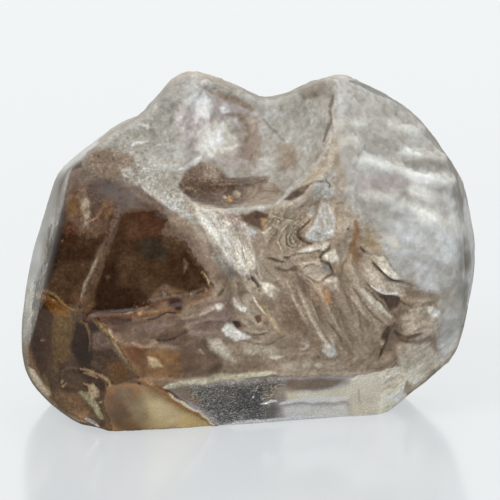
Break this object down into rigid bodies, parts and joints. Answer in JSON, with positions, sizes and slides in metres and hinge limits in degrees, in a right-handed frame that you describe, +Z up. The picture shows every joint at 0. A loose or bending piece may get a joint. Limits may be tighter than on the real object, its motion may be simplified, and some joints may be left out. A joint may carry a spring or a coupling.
{
  "type": "zircon gemstone",
  "caption": "Water-worn, broken smoky zircon crystal with flat polished facets, a shell-shaped bowl and a ribbed lobe, standing on a flat base.",
  "frame": {"origin": "under the middle of the bounding box, on the flat base", "axes": "+X to the right along the broad face, which is the longest extent; the broad face looks towards -Y and leans back; +Z up"},
  "size_m": [0.02, 0.0118, 0.0154],
  "materials": {
    "smoky_zircon": "clear smoky brown crystal, polished facets and frosted fracture surfaces"
  },
  "bodies": {
    "root": {"zircon": "smoky_zircon"}
  },
  "joints": []
}
